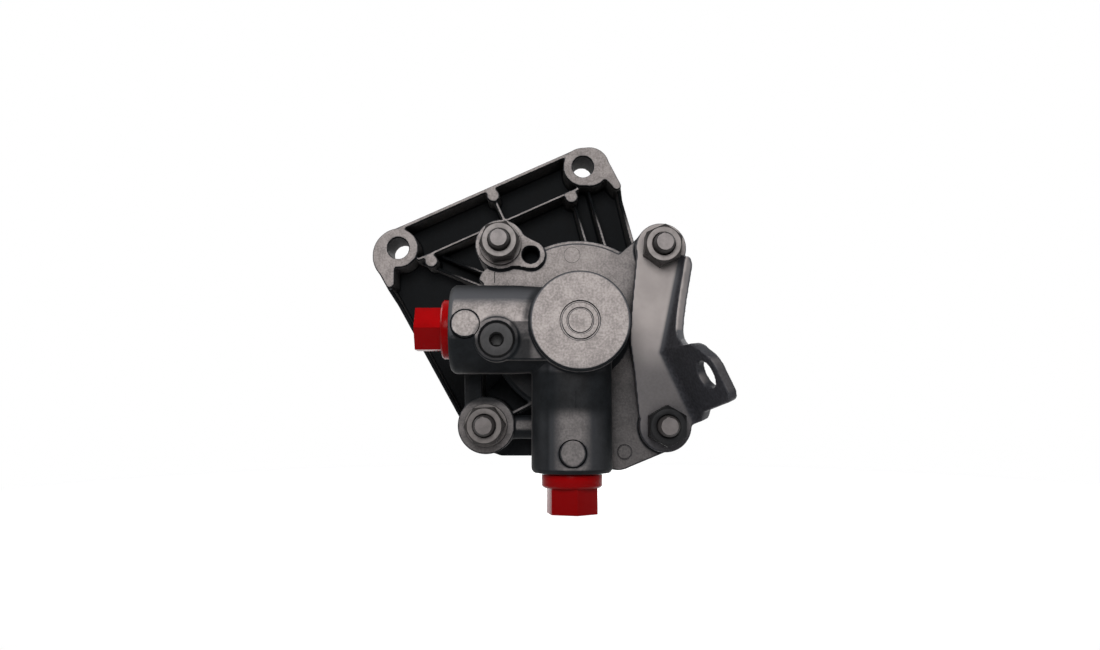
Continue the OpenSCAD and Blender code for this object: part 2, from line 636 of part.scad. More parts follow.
module inlet_plug() color("red") stand() upward([inlet_x, inlet_end], inlet_depth) rotate([180, 0, 0]) {
  translate([0, 0, -inlet_shank]) cylinder(r = inlet_mouth, h = inlet_shank + e);
  cylinder(r = inlet_collar_r - 1.1, h = collar_gap + e);
  translate([0, 0, collar_gap]) cylinder(r = inlet_collar_r, h = inlet_collar_t);
  translate([0, 0, collar_gap + inlet_collar_t - e])
    cylinder(r1 = inlet_collar_r, r2 = inlet_collar_r - 0.9, h = 0.9);
  translate([0, 0, inlet_collar_t]) rotate(20)
    cylinder(r = inlet_plug_af / sqrt(3), h = inlet_plug_h + 0.9, $fn = 6);
}

function seat_of(p) = p[0] < 0 ? nut_seat : bracket_face;

module studs() color("gray") stand() for (p = studs_at) {
  top = seat_of(p) + nut_h + stud_tip;
  rod(p, stud_r, stud_root, top - 1.1);
  cone(p, stud_r, stud_r - 1.1, top - 1.1 - e, top);
}

module nut(p, turn) {
  z = seat_of(p);
  difference() {
    intersection() {
      translate([p[0], p[1], z]) rotate(turn) cylinder(r = nut_af / sqrt(3), h = nut_h, $fn = 6);
      union() {
        rod(p, nut_af, z, z + nut_h - 2);
        cone(p, nut_af / 2 + 3.2, nut_af / 2 - 0.5, z + nut_h - 2.4, z + nut_h);
      }
    }
    rod(p, stud_r, z - 1, z + nut_h + 1);
    rod(p, stud_r + 0.6, z + nut_h - 2, z + nut_h + 1);
  }
}

module nuts() color("silver") stand() {
  nut(stud_ul, 10);
  nut(stud_ur, 24);
  nut(stud_ll, 3);
}

module dark_nut() color("black") stand() nut(stud_lr, 30);

module washers() color("silver") stand() for (p = [stud_ul, stud_ll])
  ring(p, stud_r + 0.4, washer_r, ear_depth, nut_seat);

// Flat sheet bent up by an angle from the line a to b, with the sheet's own outline as child
module bent_side(a, b, lean) {
  l = norm(b - a);
  translate([a[0], a[1], bracket_face]) rotate([0, 0, atan2(b[1] - a[1], b[0] - a[0])]) {
    rotate([90, 0, 90]) translate([0, bend_r, 0]) linear_extrude(l) {
      intersection() {
        difference() {
          circle(bend_r + plate_t);
          circle(bend_r);
        }
        polygon([[0, 0], [0, -40], [40, -40], 40 * [sin(lean), -cos(lean)]]);
      }
      translate([-1, -bend_r - plate_t]) square([1, plate_t]);
    }
    translate([0, 0, bend_r]) rotate([lean, 0, 0]) translate([0, 0, -bend_r - plate_t + 0.15])
      linear_extrude(plate_t - 0.3) {
        translate([0, -0.5]) square([l, 1]);
        children();
      }
  }
}

module half_plane(side) {
  mid = unit(unit(crease - bend_top) + unit(bend_bottom - crease));
  translate([crease[0], crease[1], 60]) rotate([0, 0, atan2(mid[1], mid[0])])
    translate([side > 0 ? -0.5 : -89.5, -90, 0]) cube([90, 180, 90]);
}

module support_bracket() color("gainsboro") stand() {
  top = bend_top;
  bottom = bend_bottom;
  l1 = norm(top - crease);
  l2 = norm(bottom - crease);
  run = 14;
  lap = [0.6, 0];
  eye = [run + eye_along, eye_reach];
  corner = eye + [9.6, 6.4];
  difference() {
    union() {
      slab(ear_depth, bracket_face) {
        translate(stud_ur) circle(ear_r - 0.2);
        translate(stud_lr) circle(ear_r + 0.1);
        polygon([stud_ur + [-ear_r + 1.2, 3], [neck_x + 1, 9], [neck_x, -7], [neck_x + 1.9, -21],
          stud_lr + [-ear_r - 0.2, 4], stud_lr + [0, -6], bottom + lap, crease + lap, top + lap,
          stud_ur + [6, 9]]);
      }
      intersection() {
        bent_side(top, crease - run * unit(top - crease), bend_a - 3) polygon([[0, 0], [l1 + run, 0],
          [l1 + run, 34], [l1, 20], [l1 - 5.5, 12.5], [l1 - 8, 8], [l1 - 11.5, 5], [l1 - 18, 3.2],
          [l1 - 28, 1.8], [4, 0.7]]);
        half_plane(-1);
        slab(60, 150) polygon([[0, 60], [50, 45], [52.4, 37.4], [54.3, 32], [55.8, 27], [70, -20], [70, -60],
          [0, -60]]);
      }
      intersection() {
        bent_side(crease - run * unit(bottom - crease), bottom, bend_a) {
          pill(eye, eye_r, corner, lug_r);
          polygon([[0, 0], [run + l2, 0], corner + [lug_r + 0.8, -24], corner + [0.99 * lug_r, 0], eye,
            eye + eye_r * [-0.45, 0.87], eye + [-11.5, 5.1], eye + [-13.4, 2.6], eye + [-15, -0.4], [0, 18]]);
        }
        half_plane(1);
      }
    }
    for (p = [stud_ur, stud_lr]) rod(p, stud_r + 0.4, ear_depth - 1, bracket_face + 1);
    translate([crease[0], crease[1], bracket_face])
      rotate([0, 0, atan2(bottom[1] - crease[1], bottom[0] - crease[0])]) translate([0, 0, bend_r])
      rotate([bend_a, 0, 0]) translate([eye_along, eye_reach, -bend_r - plate_t - 5])
      cylinder(r = eye_d / 2, h = plate_t + 10);
  }
}

mounting_flange();
pump_housing();
body_seal();
shaft_seal();
bearing_outer_race();
bearing_circlip();
bearing_balls();
bearing_cage();
bearing_inner_race();
drive_shaft();
rotor();
vanes();
rotor_circlip();
front_plate();
cam_ring();
rear_plate();
plate_seal();
locating_dowels();
rear_bush();
flow_spool();
flow_spring();
spool_stop_ring();
gallery_plug();
gallery_plug_seal();
outlet_plug();
inlet_plug();
studs();
nuts();
dark_nut();
washers();
support_bracket();
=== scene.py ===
"""Power steering pump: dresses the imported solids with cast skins, threads, cast marks and finishes."""

import json
import math

import bpy
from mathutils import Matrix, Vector


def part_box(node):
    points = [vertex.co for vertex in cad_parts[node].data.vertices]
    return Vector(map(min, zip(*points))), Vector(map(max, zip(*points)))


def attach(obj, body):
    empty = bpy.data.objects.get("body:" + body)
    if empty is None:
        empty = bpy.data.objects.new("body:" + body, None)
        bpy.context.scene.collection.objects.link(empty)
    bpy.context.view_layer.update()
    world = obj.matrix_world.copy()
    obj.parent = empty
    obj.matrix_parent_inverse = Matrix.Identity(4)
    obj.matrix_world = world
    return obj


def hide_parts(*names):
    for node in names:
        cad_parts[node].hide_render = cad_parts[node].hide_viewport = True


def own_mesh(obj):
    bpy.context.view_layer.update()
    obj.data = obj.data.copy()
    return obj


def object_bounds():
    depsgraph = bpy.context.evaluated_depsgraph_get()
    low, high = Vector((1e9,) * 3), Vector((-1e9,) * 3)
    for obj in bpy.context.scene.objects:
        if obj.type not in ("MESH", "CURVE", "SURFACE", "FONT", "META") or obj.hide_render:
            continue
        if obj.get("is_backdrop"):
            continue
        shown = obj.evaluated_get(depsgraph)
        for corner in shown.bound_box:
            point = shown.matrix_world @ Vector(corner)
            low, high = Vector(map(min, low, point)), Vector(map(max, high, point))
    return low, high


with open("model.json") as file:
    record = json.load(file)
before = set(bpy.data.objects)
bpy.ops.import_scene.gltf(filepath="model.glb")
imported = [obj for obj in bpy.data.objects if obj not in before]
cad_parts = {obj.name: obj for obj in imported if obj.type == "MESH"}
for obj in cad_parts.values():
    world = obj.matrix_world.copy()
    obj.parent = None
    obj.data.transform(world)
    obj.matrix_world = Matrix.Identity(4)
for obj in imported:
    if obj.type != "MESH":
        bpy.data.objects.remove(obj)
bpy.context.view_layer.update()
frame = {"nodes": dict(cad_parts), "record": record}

MM = 0.001
MOUNTING_FACE = 0.0
PILOT_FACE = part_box("mounting_flange")[1].y
JOINT_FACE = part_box("pump_housing")[1].y
PLATE_FACE, BOSS_FACE = 76.0, 112.0  # depths of the housing's rear faces, in millimetres
BOSS_AXIS, GALLERY_AXIS = (0.0, 0.0), (-37.7, -8.3)  # right and up of the shaft, in millimetres
SLOT_OF = {part["node"]: part["material_slot"] for part in frame["record"]["subparts"]}
BODY_OF = {node: body for body, nodes in frame["record"]["behaviour"]["bodies"].items() for node in nodes}


# ---------------------------------------------------------------- finishes

class Value:
    """A number on a surface: arithmetic with it adds Math nodes to its tree."""

    def __init__(self, nodes, socket):
        self.nodes, self.socket = nodes, socket

    def math(self, operation, a, b=0.0):
        return self.nodes.add("ShaderNodeMath", {"operation": operation}, {0: a, 1: b})["Value"]

    def __add__(self, other):
        return self.math("ADD", self, other)

    def __sub__(self, other):
        return self.math("SUBTRACT", self, other)

    def __rsub__(self, other):
        return self.math("SUBTRACT", other, self)

    def __mul__(self, other):
        return self.math("MULTIPLY", self, other)

    def __neg__(self):
        return self.math("MULTIPLY", self, -1.0)

    __radd__ = __add__
    __rmul__ = __mul__

    def between(self, low, high):
        """0 at low, 1 at high, smooth in between."""
        return self.nodes.add("ShaderNodeMapRange", {"interpolation_type": "SMOOTHSTEP"},
                              {"Value": self, "From Min": low, "From Max": high})["Result"]


class Made:
    """A node whose outputs are read by name or number."""

    def __init__(self, nodes, node):
        self.nodes, self.node = nodes, node

    def __getitem__(self, name):
        return Value(self.nodes, self.node.outputs[name])


class Nodes:
    """A node tree that grows by one method."""

    def __init__(self, tree):
        self.tree = tree

    def add(self, kind, settings=None, inputs=None):
        node = self.tree.nodes.new(kind)
        for name, value in (settings or {}).items():
            setattr(node, name, value)
        for name, value in (inputs or {}).items():
            self.feed(node.inputs[name], value)
        return Made(self, node)

    def feed(self, socket, value):
        if isinstance(value, Value):
            self.tree.links.new(value.socket, socket)
        else:
            socket.default_value = value

    def own(self, node_name):
        """A node that the tree came with."""
        return Made(self, self.tree.nodes[node_name])

    def seen(self):
        """1 for the rays that show a backdrop: those of the camera, of reflections and through glass."""
        path = self.add("ShaderNodeLightPath")
        return path["Is Camera Ray"] + path["Is Glossy Ray"] + path["Is Transmission Ray"]


class Finish(Nodes):
    """A material on a Principled shader, with constants set on the shader's own sockets."""

    def __init__(self, name, **constants):
        self.material = bpy.data.materials.new(name)
        self.material.use_nodes = True
        super().__init__(self.material.node_tree)
        self.shader = self.tree.nodes["Principled BSDF"]
        self.set(**constants)
        coordinates = self.add("ShaderNodeTexCoord")
        self.place, self.outward = coordinates["Object"], coordinates["Normal"]

    def set(self, **inputs):
        for name, value in inputs.items():
            self.feed(self.shader.inputs[name.replace("_", " ")], value)

    def noise(self, size, detail=3.0, roughness=0.55, at=None):
        """Noise from 0 to 1 whose grains are about size metres across."""
        return self.add("ShaderNodeTexNoise", {}, {"Vector": at or self.place, "Scale": 1 / size, "Detail": detail,
                                                   "Roughness": roughness})["Fac"]

    def stretched(self, by):
        return self.add("ShaderNodeMapping", {}, {"Vector": self.place, "Scale": by})["Vector"]

    def mix(self, mask, low, high):
        """A colour from low, where mask is 0, to high, where it is 1."""
        low, high = (c if isinstance(c, Value) else (*c, 1) for c in (low, high))
        return self.add("ShaderNodeMix", {"data_type": "RGBA"}, {0: mask, 6: low, 7: high})[2]

    def bump(self, height, depth, below=None):
        inputs = {"Height": height, "Distance": depth, "Strength": 1.0}
        if below is not None:
            inputs["Normal"] = below
        return self.add("ShaderNodeBump", {}, inputs)["Normal"]

    def toward(self, direction):
        """1 where the surface faces the direction, 0 across it, -1 away from it."""
        return self.add("ShaderNodeVectorMath", {"operation": "DOT_PRODUCT"},
                        {0: self.outward, 1: direction})["Value"]

    def spot(self):
        """Right, up and rearward of the middle of the mounting face, in millimetres."""
        axes = self.add("ShaderNodeSeparateXYZ", {}, {"Vector": self.place})
        return axes["X"] * 1000.0, axes["Z"] * 1000.0, axes["Y"] * -1000.0

    def openness(self, reach):
        """1 on open faces, towards 0 deep in a pocket or a corner."""
        return self.add("ShaderNodeAmbientOcclusion", {"samples": 12}, {"Distance": reach})["AO"]


def shades(color, *factors):
    return [tuple(channel * factor for channel in color) for factor in factors]


SHADED_WALL = (0.085, 0.081, 0.080)  # painted shade on side walls
PAINTED_SHEEN = (0.086, 0.087, 0.094)  # painted sheen on rounded shoulders
REAR = (0.0, -1.0, 0.0)  # the side that carries the boss, the necks and the bracket
UP = (0.0, 0.0, 1.0)
HIGHLIGHT_TILT = math.radians(9)
HIGHLIGHT_FACING = (0.0, -math.cos(HIGHLIGHT_TILT), math.sin(HIGHLIGHT_TILT))  # faces turned this way take the painted highlight


def painted_light_masks(f, reach, zone):
    """Two masks of painted light, 0 on sides, undersides and in pockets, which take painted shade: one for a painted
    sheen on rounded shoulders, one for a painted highlight on faces to the rear.
    """
    facing = f.toward(HIGHLIGHT_FACING)
    lit_faces = f.toward(UP).between(-0.35, -0.05) * f.openness(reach).between(0.2, 0.75) * zone
    return facing.between(0.45, 0.93) * lit_faces, facing.between(0.86, 0.99) * lit_faces


def side_walls(f, reach):
    """1 on open walls that face sideways or to the front, 0 on shoulders that turn to the rear and in pockets: it picks
    between two painted shades.
    """
    return (1.0 - f.toward(REAR).between(0.02, 0.3)) * f.openness(reach).between(0.25, 0.8)


def painted_shade_below(up, start, end, depth):
    """Painted shade that darkens towards the bottom: 1 above the start height, less by depth below the end height."""
    return 1.0 - (-up).between(-start, -end) * depth


def cast_finish(name, face, shade_tone, grain, zone, ground_below=None):
    """Cast light alloy with fine grain, in painted light: a painted highlight on pale rear faces, a painted sheen on
    slate shoulders, painted shade on grey side walls and a darker painted shade in pockets.
    """
    f = Finish(name, Specular_IOR_Level=0.05)
    mottle = f.noise(5.5 * MM, 5.0, 0.65)
    speckle = f.noise(1.0 * MM, 2.0, 0.5)
    # painted sheen and painted highlight, only on the faces the zone leaves lit
    sheen, pale = painted_light_masks(f, 14 * MM, zone(*f.spot()))
    face_dark, face_light, face_worn = shades(face, 0.68, 1.24, 1.1)
    shade_dark, shade_light = shades(shade_tone, 0.7, 1.3)
    wall_dark, wall_light = shades(SHADED_WALL, 0.72, 1.25)
    flecked = (mottle * 0.5 + speckle * 0.5).between(0.34, 0.66)
    # painted shade: the dark tone in pockets and on rear-turned shoulders, the grey one on open side walls
    sides = f.mix(side_walls(f, 10 * MM), f.mix(mottle.between(0.3, 0.7), shade_dark, shade_light),
                  f.mix((mottle * 0.25 + speckle * 0.75).between(0.34, 0.66), wall_dark, wall_light))
    tone = f.mix(pale, f.mix(sheen, sides, PAINTED_SHEEN), f.mix(flecked, face_dark, face_light))
    worn = f.add("ShaderNodeNewGeometry")["Pointiness"].between(0.53, 0.62)
    tone = f.mix(worn * pale * 0.25, tone, face_worn)
    roughness = 0.5 + mottle * 0.2 - worn * 0.1
    if ground_below is not None:
        depth = f.spot()[2]
        ground = 1.0 - depth.between(ground_below - 0.15, ground_below + 0.15)
        lay = f.noise(0.45 * MM, 3.0, 0.6, f.stretched((1, 1, 0.06)))
        tone = f.mix(ground, tone, f.mix(lay.between(0.3, 0.7), (0.30, 0.30, 0.31), (0.42, 0.42, 0.43)))
        roughness = roughness - ground * 0.16
    f.set(Base_Color=tone, Roughness=roughness, Normal=f.bump(mottle, 0.10 * MM, f.bump(speckle, grain)))
    return f.material


def rim_zone(right, up, depth):
    """Painted shade on the flange: it is pale only near the height of its pads and dark in its pockets."""
    return depth.between(19.0, 24.5) * (1.0 - depth.between(26.2, 27.2) * 0.8)


def span(value, start, full, fading, gone):
    """1 from full to fading, 0 before start and after gone."""
    return value.between(start, full) * (1.0 - value.between(fading, gone))


def within(right, up, middle, inner, outer):
    """1 inside the inner radius round a middle, 0 beyond the outer one."""
    across, along = right - middle[0], up - middle[1]
    return 1.0 - (across * across + along * along).between(inner * inner, outer * outer)


def rear_zone(right, up, depth):
    """Painted shade and painted shadows on the housing: dark low down, below the outlet neck's middle and beside and
    below the boss.
    """
    down, left = -up, -right
    on_neck = depth.between(98.0, 102.0)
    below_boss_face = 1.0 - depth.between(BOSS_FACE - 1.8, BOSS_FACE - 0.8)
    near_plate = 1.0 - depth.between(PLATE_FACE + 1.0, PLATE_FACE + 4.0)
    outlet = down.between(5.5, 9.0) * left.between(20.5, 23.5) * depth.between(96.0, 101.0)
    inlet = span(down, 20.5, 23.5, 38.0, 45.0) * span(right, -24.0, -21.0, 15.5, 18.0) * depth.between(78.0, 83.0)
    corner = span(left, 18.0, 22.0, 52.0, 54.5) * span(down, 19.0, 22.0, 35.0, 39.0)
    block = span(left, 13.0, 15.0, 30.5, 32.5) * down.between(-0.4, 0.3) * on_neck * below_boss_face
    flank = (within(right, up, BOSS_AXIS, 24.5, 27.5) * up.between(-3.0, 2.0) * depth.between(88.0, 94.0)
             * below_boss_face)
    gallery = within(right, up, GALLERY_AXIS, 10.4, 11.8) * on_neck
    plate_end = right.between(0.0, 28.0) * near_plate
    pale = depth.between(70.5, 74.5) * painted_shade_below(up, -15.0, -30.0, 0.68)
    # each area is a painted shadow or painted shade that takes the pale faces down
    for area, loss in ((outlet, 0.85), (inlet, 0.95), (corner, 0.9), (block, 0.8), (flank, 0.8), (gallery, 0.6),
                       (plate_end, 0.4)):
        pale = pale * (1.0 - area * loss)
    return pale


def plated_finish(name, tone, roughness, dark=0.12, sunk=0.3, clear=0.75):
    """Plated or phosphated steel with faint stains and turning grain, and painted shade off its rear faces, in sockets
    and towards the bottom.
    """
    f = Finish(name, Specular_IOR_Level=0.1)
    stain = f.noise(3.5 * MM, 4.0, 0.6)
    grain = f.noise(0.35 * MM, 2.0, 0.5)
    side, low, high = shades(tone, dark, 0.78, 1.1)
    rear = f.mix(stain.between(0.3, 0.7), low, high)
    # painted shade in sockets, towards the bottom and off the rear faces
    unshaded = f.openness(5 * MM).between(sunk, clear) * painted_shade_below(f.spot()[1], -15.0, -33.0, 0.55)
    f.set(Base_Color=f.mix(f.toward(REAR).between(0.86, 0.99) * unshaded, side, rear),
          Roughness=roughness + (stain - 0.5) * 0.22, Normal=f.bump(grain, 0.012 * MM))
    return f.material


def ground_finish(name, tone, roughness, lay=(1, 1, 1)):
    """Ground or turned steel: fine scratches that run the way the tool went."""
    f = Finish(name, Metallic=1.0)
    scratch = f.noise(0.5 * MM, 3.0, 0.6, f.stretched(lay))
    stain = f.noise(6 * MM, 3.0, 0.5)
    f.set(Base_Color=f.mix(stain.between(0.3, 0.7), shades(tone, 0.86)[0], tone),
          Roughness=roughness + (scratch - 0.5) * 0.25, Normal=f.bump(scratch, 0.006 * MM))
    return f.material


def pressed_finish(name, face, shade_tone):
    """Thick sheet steel: satin, lightly pebbled, with painted shade low down, round the eye and on its bent sides, a
    painted sheen on its shoulders and a painted highlight on faces to the rear.
    """
    f = Finish(name, Specular_IOR_Level=0.07)
    cloud = f.noise(14 * MM, 4.0, 0.55)
    pebble = f.noise(1.3 * MM, 2.0, 0.5)
    right, up, _ = f.spot()
    # painted shade round the eye and towards the bottom of the bracket
    eye = right.between(54.0, 60.0) * (-up).between(12.0, 22.0)
    sheen, pale = painted_light_masks(f, 12 * MM, painted_shade_below(up, 4.0, -25.0, 0.77) * painted_shade_below(up, -46.0, -53.0, 0.7)
                                * (1.0 - eye * 0.6))
    low, high = shades(face, 0.9, 1.08)
    dim, dull = shades(shade_tone, 0.75, 1.25)
    sides = f.mix(side_walls(f, 8 * MM), f.mix(pebble.between(0.3, 0.7), dim, dull), f.mix(cloud, SHADED_WALL, dull))
    f.set(Base_Color=f.mix(pale, f.mix(sheen, sides, PAINTED_SHEEN), f.mix(cloud.between(0.3, 0.7), low, high)),
          Roughness=0.42 + (cloud - 0.5) * 0.2, Normal=f.bump(pebble, 0.012 * MM))
    return f.material


def plastic_finish(name, tone):
    """Glossy moulded plastic with soft flow marks and a few rubbed patches, and painted shade where it faces down."""
    f = Finish(name, Specular_IOR_Level=0.03)
    flow = f.noise(7 * MM, 3.0, 0.5)
    rub = f.noise(1.2 * MM, 3.0, 0.6)
    # painted shade on faces turned down
    painted_under, low, high = shades(tone, 0.56, 0.88, 1.1)
    f.set(Base_Color=f.mix(f.toward(UP).between(-0.15, 0.45), painted_under, f.mix(flow.between(0.3, 0.7), low, high)),
          Roughness=0.2 + (rub - 0.5) * 0.12, Normal=f.bump(flow, 0.03 * MM))
    return f.material


def rubber_finish(name):
    f = Finish(name, Specular_IOR_Level=0.35)
    grain = f.noise(0.4 * MM, 2.0, 0.5)
    f.set(Base_Color=f.mix(grain.between(0.3, 0.7), (0.012, 0.012, 0.013), (0.028, 0.028, 0.03)),
          Roughness=0.55 + (grain - 0.5) * 0.2, Normal=f.bump(grain, 0.01 * MM))
    return f.material


FACE = (0.352, 0.316, 0.304)
# painted shade: the dark tone in pockets, in the painted shadows and on shoulders turned to the rear
PAINTED_SHADE = (0.0080, 0.0090, 0.0102)
FINISHES = {
    "cast_flange": cast_finish("cast_flange", FACE, shades(PAINTED_SHADE, 0.6)[0], 0.03 * MM, rim_zone, 0.3),
    "cast_housing": cast_finish("cast_housing", FACE, PAINTED_SHADE, 0.045 * MM, rear_zone),
    "bracket_steel": pressed_finish("bracket_steel", FACE, (0.028, 0.028, 0.032)),
    "rubber": rubber_finish("rubber"),
    "bright_steel": ground_finish("bright_steel", (0.62, 0.62, 0.62), 0.25, (1, 0.1, 1)),
    "spring_steel": ground_finish("spring_steel", (0.25, 0.25, 0.26), 0.4),
    "brass_cage": ground_finish("brass_cage", (0.60, 0.47, 0.22), 0.32),
    "shaft_steel": ground_finish("shaft_steel", (0.48, 0.48, 0.49), 0.3, (1, 8, 1)),
    "plate_steel": ground_finish("plate_steel", (0.40, 0.40, 0.40), 0.34),
    "bronze": ground_finish("bronze", (0.55, 0.38, 0.20), 0.42),
    "dark_plug": plated_finish("dark_plug", (0.036, 0.035, 0.036), 0.42, sunk=0.6, clear=0.9),
    "red_plastic": plastic_finish("red_plastic", (0.32, 0.0015, 0.0025)),
    "stud_steel": plated_finish("stud_steel", (0.26, 0.235, 0.23), 0.42),
    "nut_steel": plated_finish("nut_steel", (0.30, 0.272, 0.262), 0.46, dark=0.09),
    "dark_nut": plated_finish("dark_nut", (0.012, 0.012, 0.013), 0.4, dark=0.5),
}


# ---------------------------------------------------------------- modelling by hand

def only(piece):
    bpy.ops.object.select_all(action="DESELECT")
    piece.select_set(True)
    bpy.context.view_layer.objects.active = piece


def edit(piece):
    only(piece)
    bpy.ops.object.mode_set(mode="EDIT")
    bpy.ops.mesh.select_all(action="SELECT")


def leave():
    bpy.ops.object.mode_set(mode="OBJECT")


def modify(piece, kind, **settings):
    """Adds a modifier and applies it."""
    modifier = piece.modifiers.new(kind.title(), kind)
    for name, value in settings.items():
        setattr(modifier, name, value)
    only(piece)
    bpy.ops.object.modifier_apply(modifier=modifier.name)


def solid_copy(node, name):
    """A copy of a CAD node as one merged mesh."""
    mesh = frame["nodes"][node].data.copy()
    mesh.name = name
    piece = bpy.data.objects.new(name, mesh)
    bpy.context.scene.collection.objects.link(piece)
    edit(piece)
    bpy.ops.mesh.remove_doubles(threshold=0.001 * MM)
    leave()
    if mesh.has_custom_normals:
        bpy.ops.mesh.customdata_custom_splitnormals_clear()
    return piece


def smooth_shaded(piece, angle):
    only(piece)
    bpy.ops.object.shade_smooth_by_angle(angle=math.radians(angle))


def join(name, pieces):
    only(pieces[0])
    for piece in pieces:
        piece.select_set(True)
    bpy.ops.object.join()
    pieces[0].name = pieces[0].data.name = name
    return pieces[0]


def dress(piece, body, slot, *nodes):
    """Gives a finished piece its finish, the body it rides on and the CAD nodes it stands for."""
    piece.data.materials.clear()
    piece.data.materials.append(FINISHES[slot])
    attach(piece, body)
    if nodes:
        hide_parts(*nodes)
    return piece


def at(right, up, depth):
    """A point of the pump in millimetres: right, up and rearward of the middle of the mounting face."""
    return Vector((right, -depth, up)) * MM


MOST_TRIANGLES = 180000


def cast_skin(node, voxel, passes, machined, added=()):
    """A casting: remeshed with what is added to it, softened as cast, but crisp on its machined planes across Y."""
    piece = join(node + "_skin", [solid_copy(node, node + "_skin"), *added])
    modify(piece, "REMESH", mode="VOXEL", voxel_size=voxel)
    flat = {v.index for v in piece.data.vertices if any(abs(v.co.y - plane) < 0.03 * MM for plane in machined)}
    for name, members in {"as_cast": set(range(len(piece.data.vertices))) - flat, "machined": flat}.items():
        piece.vertex_groups.new(name=name).add(sorted(members), 1.0, "REPLACE")
    modify(piece, "SMOOTH", factor=0.5, iterations=passes, vertex_group="as_cast")
    modify(piece, "SMOOTH", factor=0.5, iterations=passes, vertex_group="machined", use_y=False)
    triangles = sum(len(face.vertices) - 2 for face in piece.data.polygons)
    modify(piece, "DECIMATE", ratio=min(1.0, MOST_TRIANGLES / triangles))
    piece.vertex_groups.clear()
    return piece


def slab(name, front, back, outline):
    """A flat piece with an outline of (right, up) points, between two depths."""
    bpy.ops.object.select_all(action="DESELECT")
    bpy.ops.mesh.primitive_circle_add(vertices=len(outline), radius=1.0, fill_type="NGON")
    piece = bpy.context.object
    piece.name = name
    for vertex, (right, up) in zip(piece.data.vertices, outline):
        vertex.co = at(right, up, front)
    edit(piece)
    bpy.ops.mesh.extrude_region_move(TRANSFORM_OT_translate={"value": at(0, 0, back - front)})
    bpy.ops.mesh.select_all(action="SELECT")
    bpy.ops.mesh.normals_make_consistent(inside=False)
    leave()
    return piece


def finish_skin(piece, node):
    smooth_shaded(piece, 50)
    return dress(piece, BODY_OF[node], SLOT_OF[node], node)


def ring_mark(right, up, depth, radius, section, reach=1.0):
    """A tool that leaves a round-bottomed ring in a face: reach stretches it along the pump's axis."""
    bpy.ops.object.select_all(action="DESELECT")
    bpy.ops.mesh.primitive_torus_add(location=at(right, up, depth), rotation=(math.pi / 2, 0, 0),
                                     major_radius=radius * MM, minor_radius=section * MM,
                                     major_segments=96, minor_segments=12)
    bpy.context.object.scale.z = reach
    return bpy.context.object


def line_mark(right, up, depth, width, length, reach):
    """A tool that leaves a thin upright line."""
    bpy.ops.object.select_all(action="DESELECT")
    bpy.ops.mesh.primitive_cube_add(size=1.0, location=at(right, up, depth))
    bpy.context.object.scale = Vector((width, reach, length)) * MM
    return bpy.context.object


def cut(piece, tools):
    """Cuts marks that don't touch each other."""
    for tool in tools:
        only(tool)
        bpy.ops.object.transform_apply(location=True, rotation=True, scale=True)
    tool = join("marks", tools)
    modify(piece, "BOOLEAN", operation="DIFFERENCE", object=tool, solver="MANIFOLD")
    bpy.data.objects.remove(tool)


EDGE_STEPS = 3
SHARP_ANGLE = math.radians(30)


def crisp(node, edge):
    """A machined, pressed or moulded piece: the CAD solid with small rounds on its edges."""
    piece = solid_copy(node, node + "_edged")
    edit(piece)
    bpy.ops.mesh.dissolve_limited(angle_limit=math.radians(0.5))
    leave()
    modify(piece, "BEVEL", width=edge, segments=EDGE_STEPS, limit_method="ANGLE", angle_limit=SHARP_ANGLE)
    smooth_shaded(piece, 35)
    return dress(piece, BODY_OF[node], SLOT_OF[node], node)


def thread(name, right, up, start, end, crest=4.93, root=4.15, pitch=1.5, tip=3.9):
    """A screw-threaded rod toward the rear, cut square at both ends, with a chamfered tip."""
    bpy.ops.object.select_all(action="DESELECT")
    bpy.ops.mesh.primitive_plane_add(size=1.0)
    piece = bpy.context.object
    piece.name = name
    edit(piece)
    bpy.ops.mesh.delete(type="ONLY_FACE")
    bpy.ops.mesh.select_all(action="DESELECT")
    leave()
    piece.data.vertices[3].select = True
    bpy.ops.object.mode_set(mode="EDIT")
    bpy.ops.mesh.delete(type="VERT")
    leave()
    above = start - 2 * pitch
    for number, (radius, depth) in {1: (root, 0.0), 0: (crest, pitch / 2), 2: (root, pitch)}.items():
        piece.data.vertices[number].co = at(radius, 0, above + depth)
    turns = math.ceil((end - above) / pitch) + 2
    modify(piece, "SCREW", axis="Y", screw_offset=-pitch * MM, iterations=turns, steps=30, render_steps=30)
    edit(piece)
    bpy.ops.mesh.remove_doubles(threshold=0.001 * MM)
    for depth, outward in ((start, 1), (end, -1)):
        bpy.ops.mesh.select_all(action="SELECT")
        bpy.ops.mesh.bisect(plane_co=at(0, 0, depth), plane_no=(0, outward, 0), use_fill=True, clear_outer=True)
    bpy.ops.mesh.select_all(action="SELECT")
    bpy.ops.mesh.normals_make_consistent(inside=False)
    leave()
    for vertex in piece.data.vertices:
        radius = math.hypot(vertex.co.x, vertex.co.z)
        most = tip * MM + end * MM + vertex.co.y
        if radius > most:
            vertex.co.x *= most / radius
            vertex.co.z *= most / radius
        vertex.co += at(right, up, 0)
    return piece


# ---------------------------------------------------------------- the pump's pieces

flange = cast_skin("mounting_flange", 0.55 * MM, 8, (MOUNTING_FACE, PILOT_FACE))
finish_skin(flange, "mounting_flange")

